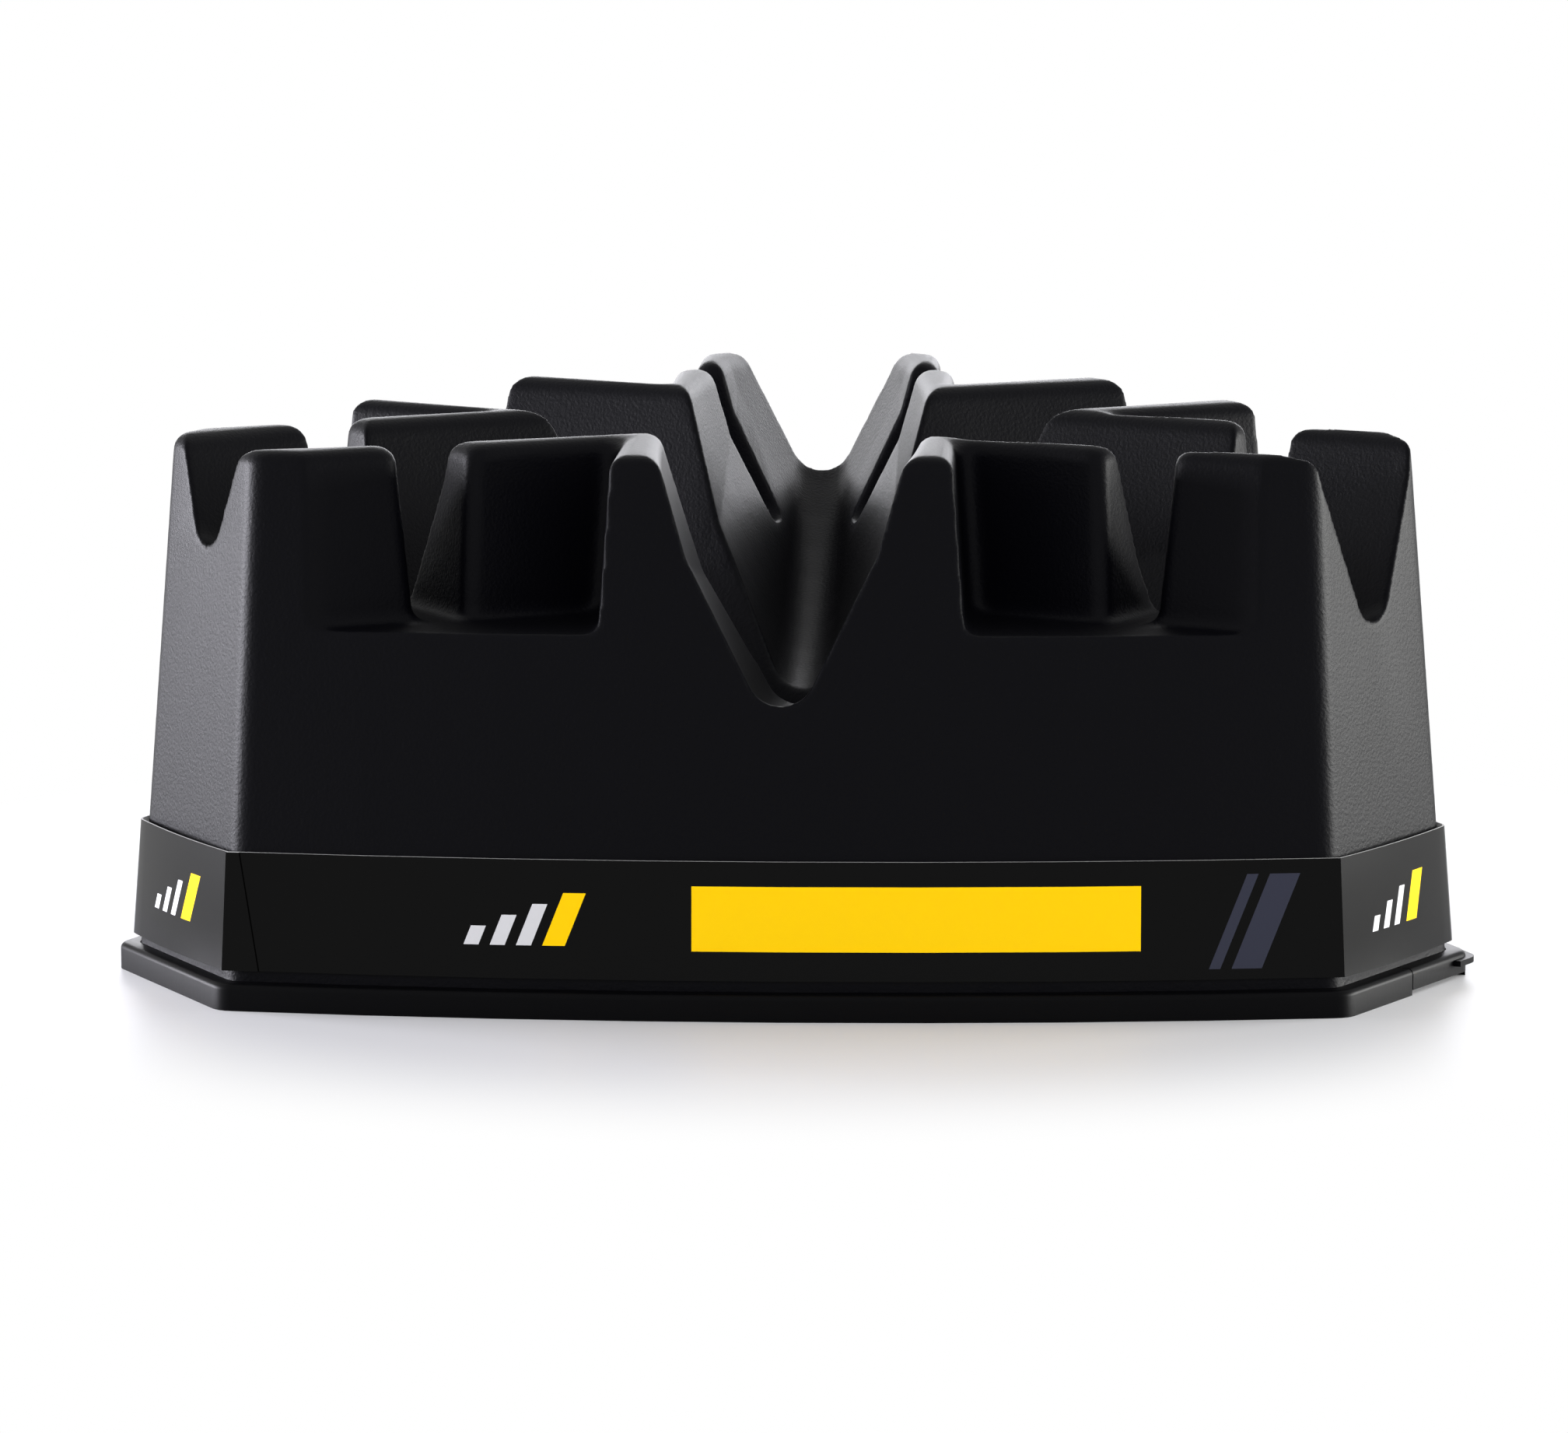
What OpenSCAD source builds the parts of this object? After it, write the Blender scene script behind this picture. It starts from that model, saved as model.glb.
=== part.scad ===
// Front riser block for a bicycle on an indoor trainer.
// A moulded shell, open underneath, with three tyre grooves that cross in
// the middle at three heights. A rubber strip grips its foot flange, and a
// folded card band lies round it. Millimetres, +Z up, front long side at -Y.

/* [Plan] */
// From the middle to the line between the ends of a long side, at the floor
long_reach = 127.3; // [122:0.1:134]
// From the middle to a short side, at the floor
short_reach = 193.6; // [187:0.1:200]
// How far a long side bows out at its middle
side_bow = 11.5; // [2:0.5:16]
// Radius of the six upright corners
corner_r = 7; // [3:0.5:10]

/* [Shell] */
// Height of the block
block_h = 148; // [140:1:160]
// Taper of every moulded wall, in degrees
draft = 4.15; // [1.5:0.05:5]
// Thickness of the moulded wall
wall = 3; // [2.2:0.1:3.8]
// Radius of the top edges
edge_r = 4; // [2:0.5:5]
// Width of the ledge between the foot of the wall and the rubber strip's face
ledge_w = 5; // [3.5:0.1:7]
// Thickness of the foot flange
flange_t = 2.6; // [2:0.1:3.4]

/* [Tyre grooves] */
// Radius of the arc that the groove floors follow
arc_r = 430; // [380:5:500]
// From the middle to the lowest point of a groove, towards the long side
arc_shift = 10; // [0:1:16]
// Height of the lowest groove at its lowest point
low_floor = 56; // [50:1:62]
// Step in height from one groove to the next
groove_step = 10; // [6:0.5:12]
// Radius across a groove floor
floor_r = 9; // [6:0.5:11]
// Lean of a groove's lower flanks from upright, in degrees
lower_lean = 26; // [20:0.5:30]
// Lean of a groove's upper flanks from upright, in degrees
upper_lean = 15.5; // [8:0.5:19]
// Height above the groove floor where the lean changes
bend_h = 40; // [30:1:50]

/* [Pockets] */
// Height of the pocket and trench floors
pocket_floor = 101; // [92:1:108]
// From the middle to the inner side of a trench, at the top
trench_in = 121; // [114:0.5:124]
// From the middle to the outer side of a trench, at the top
trench_out = 139.5; // [137:0.5:146]
// From a corner groove's middle to the pocket side of its long wall
wall_side = 41.5; // [39:0.5:45]
// From a corner groove's middle to the pocket side of its corner block
block_side = 36.5; // [33:0.5:40]
// From a long side's groove middle to the pocket side of its tooth
tooth_side = 45; // [43:0.5:50]
// Radius of the pocket floor's edge
floor_fillet = 3.5; // [1.5:0.5:4]
// Radius of the upright inner and outer corners of the pockets
upright_r = 4; // [2:0.5:5]

/* [Rubber strip] */
// Height of the strip's face
strip_h = 7.2; // [6.2:0.1:9]
// Depth of the strip, from its face inwards
strip_d = 9.5; // [8:0.1:12]
// Rubber under the flange
strip_foot = 2.4; // [1.8:0.1:3]
// Rubber between the flange's edge and the strip's face
strip_face = 2.4; // [1.6:0.1:3]
// Play between the flange and the strip's groove
strip_play = 0.1; // [0.05:0.01:0.15]
// Radius of the strip's upper outer edge
strip_r = 1.6; // [0.8:0.1:2]
// Gap where the strip's two ends meet
seam_gap = 0.5; // [0.3:0.1:1]
// From the middle of the right short side to that gap
seam_at = 1.5; // [-6:0.5:8]
// How much higher the end beyond the gap is trimmed
seam_step = 1.4; // [0.6:0.1:1.8]
// How far the strip's upper lip stands out at the right corner
lip_out = 2; // [0.8:0.1:2.6]
// Length of that lip along the strip
lip_len = 9; // [6:0.5:14]

/* [Card band] */
// Height of the band's lower edge
band_z = 10.2; // [9:0.1:14]
// Width of the band
band_w = 31.6; // [26:0.2:38]
// Thickness of the card
card_t = 0.5; // [0.4:0.05:0.8]
// Gap between the card and a long side of the block
band_gap = 0.7; // [0.4:0.1:2.4]
// Gap between the card and a short side of the block, at the folds
band_end_gap = 1.8; // [0.6:0.1:2.6]
// How far the card bows out between the folds along a short side
band_short_bow = 1.4; // [0.2:0.1:2.2]
// Radius of the four bends behind the two sharp front folds
bend_r = 6; // [2:0.5:7]
// Length of the glued lap at the band's lower edge
lap_len = 10; // [6:0.5:20]
// Length of the glued lap at the band's upper edge
lap_top = 3.5; // [2:0.5:16]

/* [Hidden] */
eps = 0.01;
corner_angles = [-30, 90, 210];
bow_steps = 8;
round_steps = 4;
taper = tan(draft);
foot_inset = ledge_w - strip_h * taper;
flange_z = strip_foot + strip_play;
flange_inset = strip_face + strip_play;
top_turn = 22.5;
groove_steps = 22;
floor_steps = 4;
outside = 40;
plan_shift = [-lip_out / cos(30) / 2, -(short_reach - long_reach - side_bow) / 2, 0];

// Plane geometry

function unit(v) = v / norm(v);
function turned(v) = [v[1], -v[0]];
function crossing(p, d, q, e) =
    p + d * ((q[0] - p[0]) * e[1] - (q[1] - p[1]) * e[0]) / (d[0] * e[1] - d[1] * e[0]);
function wrap(pts, i) = pts[(i + len(pts)) % len(pts)];

// An outline that runs anticlockwise, with every side moved out by d
function grown(pts, d) = [
    for (i = [0 : len(pts) - 1])
        let (
            a = wrap(pts, i - 1), b = pts[i], c = wrap(pts, i + 1),
            u = unit(b - a), v = unit(c - b)
        )
        crossing(a + turned(u) * d, u, b + turned(v) * d, v)
];

// The same outline with each corner rounded; radii holds one radius a corner
function rounded(pts, radii) = [
    for (i = [0 : len(pts) - 1])
        let (
            b = pts[i], u = unit(b - wrap(pts, i - 1)), v = unit(wrap(pts, i + 1) - b),
            bend = atan2(u[0] * v[1] - u[1] * v[0], u[0] * v[0] + u[1] * v[1]),
            r = radii[i], s = sign(bend), cut = r * tan(abs(bend) / 2),
            c = b - u * cut - turned(u) * r * s
        )
        if (r == 0) b else
            for (k = [0 : round_steps])
                let (a = bend * k / round_steps)
                c + s * r * [
                    turned(u)[0] * cos(a) - turned(u)[1] * sin(a),
                    turned(u)[0] * sin(a) + turned(u)[1] * cos(a)
                ]
];

// One outline above another, as a closed solid; levels holds [height, outline]
module loft(levels) {
    n = len(levels[0][1]);
    last = len(levels) - 1;
    points = [for (l = levels) for (p = l[1]) [p[0], p[1], l[0]]];
    sides = [
        for (k = [0 : last - 1]) for (i = [0 : n - 1])
            let (j = (i + 1) % n)
            [k * n + i, (k + 1) * n + i, (k + 1) * n + j, k * n + j]
    ];
    polyhedron(
        points = points,
        faces = concat([[for (i = [0 : n - 1]) i]], sides, [[for (i = [n - 1 : -1 : 0]) last * n + i]]),
        convexity = 6
    );
}

// Corners of the plan: long sides a distance l out and short sides s out
function half_long(l, s) = (s - l / 2) / sin(60);
function spun(p, a) = [p[0] * cos(a) - p[1] * sin(a), p[0] * sin(a) + p[1] * cos(a)];

// Points along one side from its first end to just before its last, bowed out
function bowed(half, reach, bow) =
    bow == 0 ? [[reach, -half]] :
    let (r = (half * half + bow * bow) / (2 * bow), a = asin(half / r))
    [for (k = [0 : bow_steps - 1])
        let (b = a * (2 * k / bow_steps - 1))
        [reach + bow - r + r * cos(b), r * sin(b)]];

function plan(l, s, bow, short_bow = 0) = [
    for (k = [0 : 2])
        each concat(
            [for (p = bowed(half_long(l, s), l, bow)) spun(p, 120 * k - 90)],
            [for (p = bowed(half_long(s, l), s, short_bow)) spun(p, 120 * k - 30)]
        )
];
plan_radii = [for (k = [0 : 2]) for (i = [0 : bow_steps]) i % bow_steps == 0 ? corner_r : 0];

floor_plan = plan(long_reach, short_reach, side_bow);
function outer_plan(inset) = rounded(grown(floor_plan, -inset), plan_radii);

// Block shell

// The outer form without its cuts, moved inwards by t
module bulk(t) {
    top = block_h - t;
    foot = t > 0 ? -1 : flange_z;
    levels = concat(
        [[foot, outer_plan(foot_inset + foot * taper + t)]],
        [for (a = [0 : top_turn : 90])
            let (z = top - edge_r * (1 - sin(a)))
            [z, outer_plan(foot_inset + z * taper + t + edge_r * (1 - cos(a)))]]
    );
    for (k = [0 : len(levels) - 2])
        hull() loft([levels[k], levels[k + 1]]);
}

// Half width of a groove at a height above its floor
function groove_w(h) =
    let (turn = 90 - lower_lean, low = min(h, bend_h))
    floor_r * sin(turn) + (low - floor_r * (1 - cos(turn))) * tan(lower_lean)
    + (h - low) * tan(upper_lean);

// Half of the section across a groove with its floor at height z, moved out
// by t, as heights and half widths; its top edges are rounded
function groove_half(z, t) =
    let (
        turn = 90 - lower_lean,
        r = floor_r + t,
        lower_t = t / cos(lower_lean),
        upper_t = t / cos(upper_lean),
        bend = bend_h - (lower_t - upper_t) / (tan(lower_lean) - tan(upper_lean)),
        top = block_h - t,
        low_bend = min(bend, top - edge_r - 1 - z)
    )
    concat(
        [for (k = [0 : floor_steps])
            let (a = turn * k / floor_steps) [z + floor_r - r * cos(a), r * sin(a)]],
        [[z + low_bend, groove_w(low_bend) + lower_t]],
        [for (a = [0 : top_turn : 90])
            let (edge = top - edge_r * (1 - sin(a)))
            [edge, groove_w(edge - z) + upper_t + edge_r * (1 - cos(a))]],
        [[block_h + outside, groove_w(top - z) + upper_t + edge_r]]
    );

// One tyre groove, with the corner that it leaves by towards +X
module groove(low_z, t) {
    reach = short_reach + outside / 2;
    n = groove_steps;
    rotate([90, 0, 90])
        loft([for (k = [0 : n])
            let (
                u = reach * (2 * k / n - 1),
                half = groove_half(low_z + arc_r - sqrt(arc_r * arc_r - pow(u + arc_shift, 2)), t),
                last = len(half) - 1
            )
            [u, concat(
                [for (p = half) [p[1], p[0]]],
                [for (i = [last : -1 : 1]) [-half[i][1], half[i][0]]]
            )]]);
}

// Half of a corner's trench and its pocket, as distances out along the
// corner groove and sideways from it
long_line = long_reach + side_bow + outside;
function tooth_point(y) = [tooth_side * cos(30) + y / 2, y * cos(30) - tooth_side / 2];
half_channel = [
    [trench_in, wall_side],
    [(wall_side / 2 + tooth_side) / cos(30), wall_side],
    tooth_point(long_line),
    [2 * (long_line - block_side * cos(30)), block_side],
    [trench_out, block_side]
];
channel = concat(
    [for (i = [4 : -1 : 0]) half_channel[i]],
    [for (p = half_channel) [p[0], -p[1]]]
);
channel_radii = [upright_r, 0, 0, upright_r, upright_r, upright_r, upright_r, 0, 0, upright_r];

// The trench and two pockets of one corner, grown by t
module channel_cut(t) {
    base = pocket_floor - t;
    top = block_h - t;
    function level(z, extra) =
        [z, rounded(grown(channel, extra + t - (block_h - z) * taper), channel_radii)];
    loft(concat(
        [for (a = [0 : 30 : 90]) level(base + floor_fillet * (1 - cos(a)), -floor_fillet * (1 - sin(a)))],
        [for (a = [0 : 30 : 90]) level(top - edge_r * (1 - sin(a)), edge_r * (1 - cos(a)))],
        [[block_h + outside, level(top, edge_r)[1]]]
    ));
}

module form(t) {
    difference() {
        bulk(t);
        for (i = [0 : 2])
            rotate(corner_angles[i]) {
                groove(low_floor + i * groove_step, t);
                channel_cut(t);
            }
    }
}

module block_shell() {
    color([0.09, 0.09, 0.1])
        translate(plan_shift)
            difference() {
                union() {
                    form(0);
                    translate([0, 0, flange_z])
                        linear_extrude(flange_t)
                            polygon(outer_plan(flange_inset));
                }
                form(wall);
            }
}

// Rubber strip

module rubber_strip() {
    groove_h = flange_t + 2 * strip_play;
    wall_inset = foot_inset + (strip_foot + groove_h) * taper;
    color([0.1, 0.1, 0.11])
        translate(plan_shift)
            difference() {
                union() {
                    linear_extrude(strip_h - strip_r) polygon(outer_plan(0));
                    loft([for (a = [0 : 22.5 : 90])
                        [strip_h - strip_r * (1 - sin(a)), outer_plan(strip_r * (1 - cos(a)))]]);
                    lip();
                }
                translate([0, 0, -1])
                    linear_extrude(strip_foot + 2)
                        polygon(outer_plan(strip_d));
                translate([0, 0, strip_foot])
                    linear_extrude(groove_h)
                        polygon(outer_plan(strip_face));
                translate([0, 0, strip_foot + groove_h - eps])
                    linear_extrude(strip_h)
                        polygon(outer_plan(wall_inset - strip_play));
                seam();
            }
}

// The two ends of the strip: a gap, and a trimmed foot beyond it
module seam() {
    trimmed = half_long(short_reach, long_reach);
    rotate(corner_angles[0])
        translate([short_reach - strip_d - 1, seam_at, 0]) {
            translate([0, 0, -1]) cube([strip_d + 2, seam_gap, strip_h + 2]);
            translate([0, 0, -1]) cube([strip_d + 2, trimmed - seam_at, seam_step + 1]);
        }
}

// The upper lip that stands out where the strip turns the right corner
module lip() {
    corner = spun([long_reach, -half_long(long_reach, short_reach)], 30);
    intersection() {
        translate([0, 0, strip_h - 2 * strip_r])
            linear_extrude(strip_r)
                polygon(outer_plan(-lip_out));
        translate([corner[0], corner[1], 0])
            cylinder(r = lip_len, h = strip_h, $fn = 32);
    }
}

// Card band

band_inset = foot_inset + band_z * taper;
band_floor = plan(
    long_reach - band_inset + band_gap, short_reach - band_inset + band_end_gap, side_bow, band_short_bow
);
band_radii = [
    for (k = [0 : 2])
        for (i = [0 : bow_steps * 2 - 1]) k > 0 && i % bow_steps == 0 ? bend_r : 0
];
function band_plan(up, out) =
    rounded(grown(band_floor, out - up * taper), band_radii);

// The flap at the left end of the front side, glued over the band's other end
module lap() {
    function layer(up, length) =
        let (
            face = band_plan(up, card_t * 2),
            back = band_plan(up, card_t / 2),
            along = unit(face[1] - face[0]) * length
        )
        [up, [face[0], face[0] + along, back[0] + along, back[0]]];
    loft([layer(0, lap_len), layer(band_w, lap_top)]);
}

module card_band() {
    color([0.03, 0.03, 0.03])
        translate(plan_shift + [0, 0, band_z]) {
            difference() {
                loft([[0, band_plan(0, card_t)], [band_w, band_plan(band_w, card_t)]]);
                loft([[-1, band_plan(-1, 0)], [band_w + 1, band_plan(band_w + 1, 0)]]);
            }
            lap();
        }
}

block_shell();
rubber_strip();
card_band();
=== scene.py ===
import math

import bmesh
import bpy
from mathutils import Matrix, Vector


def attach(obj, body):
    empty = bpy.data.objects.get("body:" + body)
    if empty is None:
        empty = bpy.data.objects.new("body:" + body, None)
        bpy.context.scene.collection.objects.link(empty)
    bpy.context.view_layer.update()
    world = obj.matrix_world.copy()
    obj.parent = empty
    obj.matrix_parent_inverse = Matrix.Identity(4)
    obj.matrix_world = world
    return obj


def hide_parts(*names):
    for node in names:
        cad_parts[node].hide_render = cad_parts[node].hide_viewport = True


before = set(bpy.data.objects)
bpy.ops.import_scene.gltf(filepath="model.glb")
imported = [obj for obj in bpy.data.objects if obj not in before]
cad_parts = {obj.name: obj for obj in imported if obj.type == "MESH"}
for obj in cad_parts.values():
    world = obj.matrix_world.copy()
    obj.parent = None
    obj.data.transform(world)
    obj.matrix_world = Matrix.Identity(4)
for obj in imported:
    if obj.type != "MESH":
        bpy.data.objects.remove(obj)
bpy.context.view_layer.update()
mm = 0.001


# materials

def newMaterial(name):
    material = bpy.data.materials.new(name)
    material.use_nodes = True
    nodes = material.node_tree.nodes
    return material, nodes, material.node_tree.links, nodes["Principled BSDF"]


def addNode(nodes, kind, **values):
    node = nodes.new(kind)
    for name, value in values.items():
        setattr(node, name, value)
    return node


def addGrain(nodes, links, shader, grain):
    coords = addNode(nodes, "ShaderNodeTexCoord")
    noise = addNode(nodes, "ShaderNodeTexNoise")
    noise.inputs["Scale"].default_value = grain["scale"]
    noise.inputs["Detail"].default_value = grain["detail"]
    bump = addNode(nodes, "ShaderNodeBump")
    bump.inputs["Strength"].default_value = grain["strength"]
    bump.inputs["Distance"].default_value = grain["depth"]
    links.new(coords.outputs["Object"], noise.inputs["Vector"])
    links.new(noise.outputs["Fac"], bump.inputs["Height"])
    links.new(bump.outputs["Normal"], shader.inputs["Normal"])


def satinMaterial(name, finish):
    material, nodes, links, shader = newMaterial(name)
    shader.inputs["Base Color"].default_value = finish["color"]
    shader.inputs["Roughness"].default_value = finish["roughness"]
    shader.inputs["Specular IOR Level"].default_value = finish["specular"]
    addGrain(nodes, links, shader, finish["grain"])
    return material


moulding = {
    "color": (0.0009, 0.0009, 0.0017, 1),
    "roughness": 0.46,
    "specular": 0.07,
    "grain": {"scale": 1100, "detail": 3, "strength": 0.7, "depth": 0.18 * mm},   # scale per metre
}


def mouldingMaterial():
    return satinMaterial("satinMoulding", moulding)


rubber = {
    "color": (0.0007, 0.0007, 0.001, 1),
    "roughness": 0.42,
    "specular": 0.06,
    "grain": {"scale": 700, "detail": 3, "strength": 0.2, "depth": 0.1 * mm},
}


def rubberMaterial():
    return satinMaterial("satinRubber", rubber)


card = {
    "inkColor": (0.0003, 0.0003, 0.0003, 1),
    "inkRoughness": 0.2,
    "specular": 0.09,
    "amber": (0.97, 0.6, 0.0, 1),
    "light": (0.62, 0.62, 0.64, 1),
    "grey": (0.03, 0.032, 0.05, 1),
    "paperColor": (0.72, 0.72, 0.72, 1),
    "paperRoughness": 0.8,
    "wave": {"scale": 60, "detail": 1, "strength": 0.08, "depth": 0.4 * mm},
    "planCentre": (-1.155 * mm, -27.4 * mm, 0),
    "sideTurns": (0, 60, -60),   # degrees, of the sides that carry prints
    "sideFront": -110 * mm,      # in a side's own axes, prints show only in front of this
    "lean": 0.4,                 # how far a slanted print moves sideways for each mm of height
    "panel": (0, -23.4, 95.0, 18.0, 35.2, 0, "amber"),   # turn, from, to, foot, top (mm), lean, colour
    "stripes": [(113, 116), (119, 127)],                 # from and to along the front (mm)
    "stripeHeights": (13, 38),                           # foot and top (mm)
    "barTops": (24, 27, 30, 33),                         # mm
    "barColors": ("light", "light", "light", "amber"),
    "barGroups": [
        # turn of the side, foot, left ends and widths of the bars (mm)
        (0, 19, (-84, -77, -70, -63), (4, 4, 4, 6)),
        (60, 20, (-17, -11, -5, 2), (3, 3, 3, 6)),
        (-60, 20, (-14, -8, -2, 5), (3, 3, 3, 6)),
    ],
}


def allPrints():
    prints = [card["panel"]]
    for start, end in card["stripes"]:
        prints.append((0, start, end, *card["stripeHeights"], card["lean"], "grey"))
    for turn, foot, starts, widths in card["barGroups"]:
        for start, width, top, color in zip(starts, widths, card["barTops"], card["barColors"]):
            prints.append((turn, start, start + width, foot, top, card["lean"], color))
    return prints


def calculate(nodes, links, operation, first, second):
    node = addNode(nodes, "ShaderNodeMath", operation=operation)
    for socket, value in zip(node.inputs, (first, second)):
        if isinstance(value, (int, float)):
            socket.default_value = value
        else:
            links.new(value, socket)
    return node.outputs[0]


def insideRange(nodes, links, value, low, high):
    over = calculate(nodes, links, "GREATER_THAN", value, low)
    under = calculate(nodes, links, "LESS_THAN", value, high)
    return calculate(nodes, links, "MULTIPLY", over, under)


def sideAxes(nodes, links, degrees):
    coords = addNode(nodes, "ShaderNodeTexCoord")
    mapping = addNode(nodes, "ShaderNodeMapping", vector_type="TEXTURE")
    mapping.inputs["Location"].default_value = card["planCentre"]
    mapping.inputs["Rotation"].default_value = (0, 0, math.radians(degrees))
    links.new(coords.outputs["Object"], mapping.inputs["Vector"])
    axes = addNode(nodes, "ShaderNodeSeparateXYZ")
    links.new(mapping.outputs["Vector"], axes.inputs[0])
    return axes.outputs


def printMask(nodes, links, axes, start, end, foot, top, lean):
    shift = calculate(nodes, links, "MULTIPLY", axes["Z"], lean)
    along = calculate(nodes, links, "SUBTRACT", axes["X"], shift)
    across = insideRange(nodes, links, along, (start - foot * lean) * mm, (end - foot * lean) * mm)
    upright = insideRange(nodes, links, axes["Z"], foot * mm, top * mm)
    front = calculate(nodes, links, "LESS_THAN", axes["Y"], card["sideFront"])
    mask = calculate(nodes, links, "MULTIPLY", across, upright)
    return calculate(nodes, links, "MULTIPLY", mask, front)


def printedCardMaterial():
    material, nodes, links, shader = newMaterial("printedCard")
    shader.inputs["Roughness"].default_value = card["inkRoughness"]
    shader.inputs["Specular IOR Level"].default_value = card["specular"]
    sides = {degrees: sideAxes(nodes, links, degrees) for degrees in card["sideTurns"]}
    before = None
    for degrees, start, end, foot, top, lean, color in allPrints():
        ink = addNode(nodes, "ShaderNodeMix", data_type="RGBA")
        ink.inputs["A"].default_value = card["inkColor"]
        ink.inputs["B"].default_value = card[color]
        if before:
            links.new(before.outputs["Result"], ink.inputs["A"])
        mask = printMask(nodes, links, sides[degrees], start, end, foot, top, lean)
        links.new(mask, ink.inputs["Factor"])
        before = ink
    links.new(before.outputs["Result"], shader.inputs["Base Color"])
    addGrain(nodes, links, shader, card["wave"])
    return material


def paperMaterial():
    material, nodes, links, shader = newMaterial("cutCardEdge")
    shader.inputs["Base Color"].default_value = card["paperColor"]
    shader.inputs["Roughness"].default_value = card["paperRoughness"]
    return material


# pieces

copies = {
    "mergeDistance": 0.002 * mm,
    "flatAngle": 0.3,         # degrees; faces that meet flatter than this become one
}


def copyOfNode(node, name):
    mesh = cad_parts[node].data.copy()
    mesh.name = name
    mesh.materials.clear()
    piece = bpy.data.objects.new(name, mesh)
    bpy.context.scene.collection.objects.link(piece)
    form = bmesh.new()
    form.from_mesh(mesh)
    bmesh.ops.remove_doubles(form, verts=form.verts, dist=copies["mergeDistance"])
    form.to_mesh(mesh)
    form.free()
    return piece


def flattenedForm(mesh):
    form = bmesh.new()
    form.from_mesh(mesh)
    angle = math.radians(copies["flatAngle"])
    bmesh.ops.dissolve_limit(form, angle_limit=angle, verts=form.verts, edges=form.edges)
    return form


def smoothByAngle(form, degrees):
    for face in form.faces:
        face.smooth = True
    for edge in form.edges:
        if len(edge.link_faces) == 2 and edge.calc_face_angle(0) > math.radians(degrees):
            edge.smooth = False


def applyModifiers(piece):
    bpy.context.view_layer.update()
    evaluated = piece.evaluated_get(bpy.context.evaluated_depsgraph_get())
    finished = bpy.data.meshes.new_from_object(evaluated)
    piece.modifiers.clear()
    piece.data = finished
    finished.name = piece.name


block = {
    "voxel": 0.7 * mm,        # size of the even mesh that the edges are softened on
    "rounding": 12,           # passes that soften the moulded edges
    "roundingFactor": 0.5,
    "triangles": 190000,      # the most that are kept
}


def roundEdges(piece):
    remesh = piece.modifiers.new("evenMesh", "REMESH")
    remesh.mode = "VOXEL"
    remesh.voxel_size = block["voxel"]
    applyModifiers(piece)
    soften = piece.modifiers.new("roundEdges", "SMOOTH")
    soften.iterations = block["rounding"]
    soften.factor = block["roundingFactor"]
    applyModifiers(piece)
    triangles = sum(len(face.vertices) - 2 for face in piece.data.polygons)
    thin = piece.modifiers.new("fewerFaces", "DECIMATE")
    thin.ratio = min(1, block["triangles"] / triangles)
    applyModifiers(piece)
    piece.data.shade_smooth()


def makeBlock():
    piece = copyOfNode("block_shell", "mouldedBlock")
    roundEdges(piece)
    piece.data.materials.append(mouldingMaterial())
    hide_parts("block_shell")
    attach(piece, "block")
    print("moulded block:", len(piece.data.polygons), "faces")


strip = {
    "smoothAngle": 40,        # degrees; sharper edges stay sharp
}


def makeStrip():
    piece = copyOfNode("rubber_strip", "edgeStrip")
    form = flattenedForm(piece.data)
    smoothByAngle(form, strip["smoothAngle"])
    form.to_mesh(piece.data)
    form.free()
    piece.data.materials.append(rubberMaterial())
    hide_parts("rubber_strip")
    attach(piece, "block")
    print("edge strip:", len(piece.data.polygons), "faces")


band = {
    "smoothAngle": 35,        # degrees; the front folds stay sharp
    "edgeSlope": 0.9,         # a face that points up or down by more than this is a cut edge
    "endWidth": 1.0 * mm,     # an upright face with an edge under this is printed, as the lap's end is
}


def makeBand():
    piece = copyOfNode("card_band", "foldedCard")
    mesh = piece.data
    for material in (printedCardMaterial(), paperMaterial()):
        mesh.materials.append(material)
    form = flattenedForm(mesh)
    centre = Vector(card["planCentre"])
    for face in form.faces:
        level = abs(face.normal.z) > band["edgeSlope"]
        end = min(edge.calc_length() for edge in face.edges) < band["endWidth"]
        inward = face.normal.dot((face.calc_center_median() - centre) * Vector((1, 1, 0))) < 0
        face.material_index = 1 if level or (inward and not end) else 0
    smoothByAngle(form, band["smoothAngle"])
    form.to_mesh(mesh)
    form.free()
    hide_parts("card_band")
    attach(piece, "band")
    print("folded card:", len(mesh.polygons), "faces")


# studio

def backgroundRays(nodes, links):
    path = addNode(nodes, "ShaderNodeLightPath")
    glossy, transmitted = path.outputs["Is Glossy Ray"], path.outputs["Is Transmission Ray"]
    mirrored = calculate(nodes, links, "ADD", glossy, transmitted)
    return calculate(nodes, links, "MAXIMUM", path.outputs["Is Camera Ray"], mirrored)


def mixIntoOutput(nodes, links, amount, plain, white, output):
    mix = addNode(nodes, "ShaderNodeMixShader")
    links.new(amount, mix.inputs[0])
    links.new(plain.outputs[0], mix.inputs[1])
    links.new(white.outputs[0], mix.inputs[2])
    links.new(mix.outputs[0], nodes[output].inputs["Surface"])


floorSheet = {
    "radius": 4.0,
    "segments": 96,
    "color": (0.81, 0.81, 0.83, 1),
    "roughness": 0.5,
    "whiteFrom": 0.215,       # metres from the middle, where the floor starts to fade to white
    "whiteTo": 0.32,
}


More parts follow.
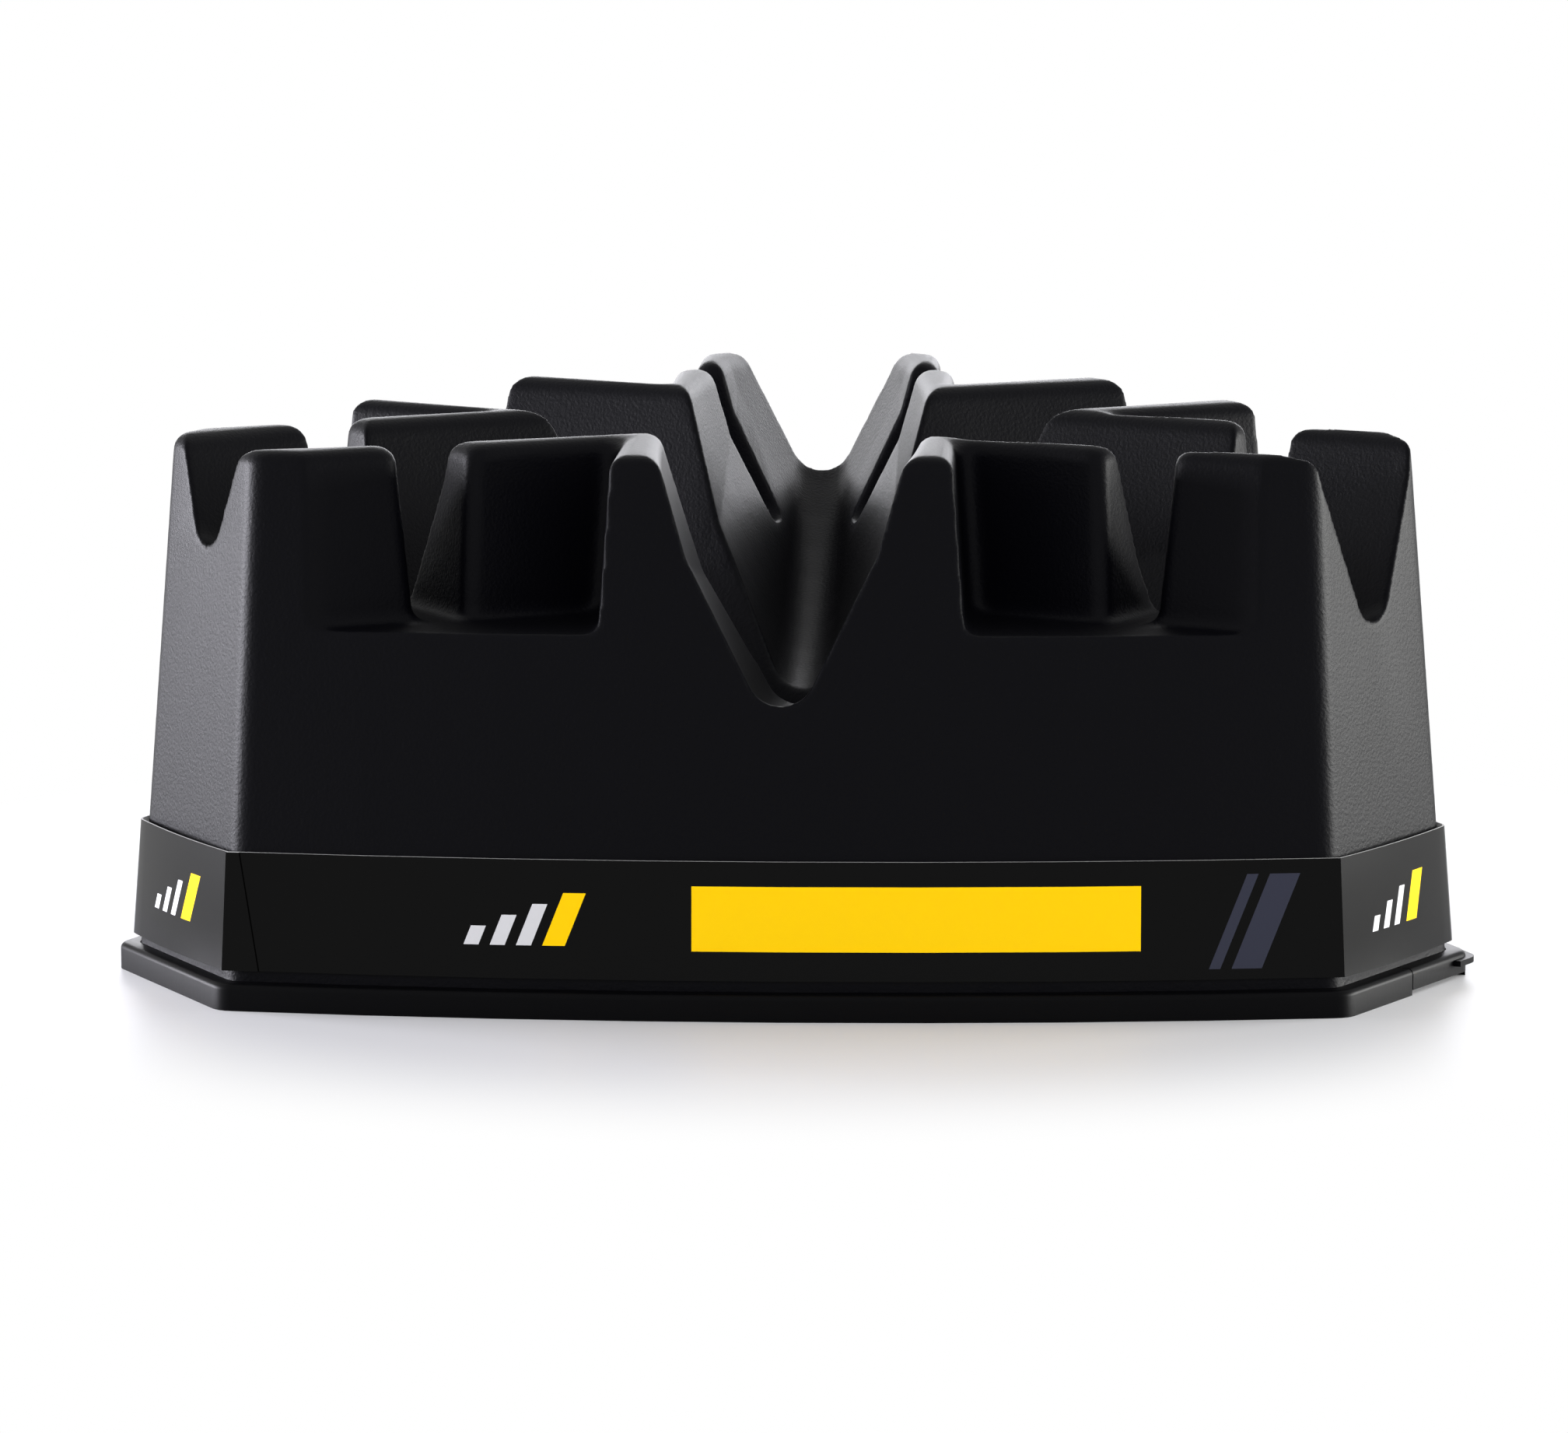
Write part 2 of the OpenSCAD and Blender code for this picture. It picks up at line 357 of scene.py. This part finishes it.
def paleFloorMaterial():
    material, nodes, links, shader = newMaterial("paleFloor")
    shader.inputs["Base Color"].default_value = floorSheet["color"]
    shader.inputs["Roughness"].default_value = floorSheet["roughness"]
    coords = addNode(nodes, "ShaderNodeTexCoord")
    distance = addNode(nodes, "ShaderNodeVectorMath", operation="LENGTH")
    links.new(coords.outputs["Object"], distance.inputs[0])
    fade = addNode(nodes, "ShaderNodeMapRange", interpolation_type="SMOOTHSTEP")
    fade.inputs["From Min"].default_value = floorSheet["whiteFrom"]
    fade.inputs["From Max"].default_value = floorSheet["whiteTo"]
    links.new(distance.outputs["Value"], fade.inputs["Value"])
    amount = calculate(nodes, links, "MULTIPLY", fade.outputs["Result"], backgroundRays(nodes, links))
    white = addNode(nodes, "ShaderNodeEmission")
    mixIntoOutput(nodes, links, amount, shader, white, "Material Output")
    return material


def makeFloor():
    form = bmesh.new()
    bmesh.ops.create_circle(form, cap_ends=True, segments=floorSheet["segments"], radius=floorSheet["radius"])
    mesh = bpy.data.meshes.new("floor")
    form.to_mesh(mesh)
    form.free()
    mesh.materials.append(paleFloorMaterial())
    floor = bpy.data.objects.new("floor", mesh)
    bpy.context.scene.collection.objects.link(floor)
    print("floor ready")


lamps = {
    # name: place, size across and up, watts, colour, seen as a reflection
    "leftSide": ((-1.3, 0.1, 0.17), (0.9, 0.3), 45, (0.97, 0.96, 1.05), True),
    "rightSide": ((1.3, 0.1, 0.17), (0.9, 0.3), 33, (1.0, 1.0, 0.98), True),
    "back": ((0, 1.6, 0.35), (1.4, 0.5), 14, (0.98, 0.98, 1.03), True),
    "frontFill": ((0.1, -1.4, 0.8), (1.2, 0.8), 15, (1, 1, 1), False),
}
lampAim = (0, 0, 0.1)


def makeLamps():
    for name, (place, size, watts, color, reflected) in lamps.items():
        lamp = bpy.data.lights.new(name, "AREA")
        lamp.shape = "RECTANGLE"
        lamp.size, lamp.size_y = size
        lamp.energy = watts
        lamp.color = color
        holder = bpy.data.objects.new(name, lamp)
        holder.location = place
        holder.rotation_euler = (Vector(lampAim) - Vector(place)).to_track_quat("-Z", "Y").to_euler()
        holder.visible_glossy = reflected
        bpy.context.scene.collection.objects.link(holder)
    print("lamps ready:", len(lamps))


background = {
    "color": (1, 1, 1, 1),
    "fillStrength": 0.16,     # what the world adds to the light on the object
    "whiteStrength": 1,       # what the camera and the reflections see
}


def makeWorld():
    world = bpy.data.worlds.new("studioWorld")
    bpy.context.scene.world = world
    world.use_nodes = True
    nodes, links = world.node_tree.nodes, world.node_tree.links
    fill = nodes["Background"]
    white = addNode(nodes, "ShaderNodeBackground")
    for node, strength in ((fill, background["fillStrength"]), (white, background["whiteStrength"])):
        node.inputs["Color"].default_value = background["color"]
        node.inputs["Strength"].default_value = strength
    mixIntoOutput(nodes, links, backgroundRays(nodes, links), fill, white, "World Output")


view = {
    "lens": 149.016,          # mm
    "sensorWidth": 36,        # mm
    "clipEnd": 100,           # metres
    "place": (69.64 * mm, -1842.27 * mm, 333.86 * mm),
    "pitch": 8.554,           # degrees down
    "yaw": 2.373,
    "roll": -0.086,
}


def makeCamera():
    data = bpy.data.cameras.new("camera")
    data.lens = view["lens"]
    data.sensor_width = view["sensorWidth"]
    data.clip_end = view["clipEnd"]
    camera = bpy.data.objects.new("camera", data)
    bpy.context.scene.collection.objects.link(camera)
    turn = Matrix.Rotation(math.radians(view["yaw"]), 4, "Z")
    tilt = Matrix.Rotation(math.radians(90 - view["pitch"]), 4, "X")
    roll = Matrix.Rotation(math.radians(view["roll"]), 4, "Z")
    camera.matrix_world = Matrix.Translation(view["place"]) @ turn @ tilt @ roll
    bpy.context.scene.camera = camera
    print("camera ready")


makeBlock()
makeStrip()
makeBand()
makeFloor()
makeLamps()
makeWorld()
makeCamera()
bpy.context.scene.view_settings.view_transform = "Standard"
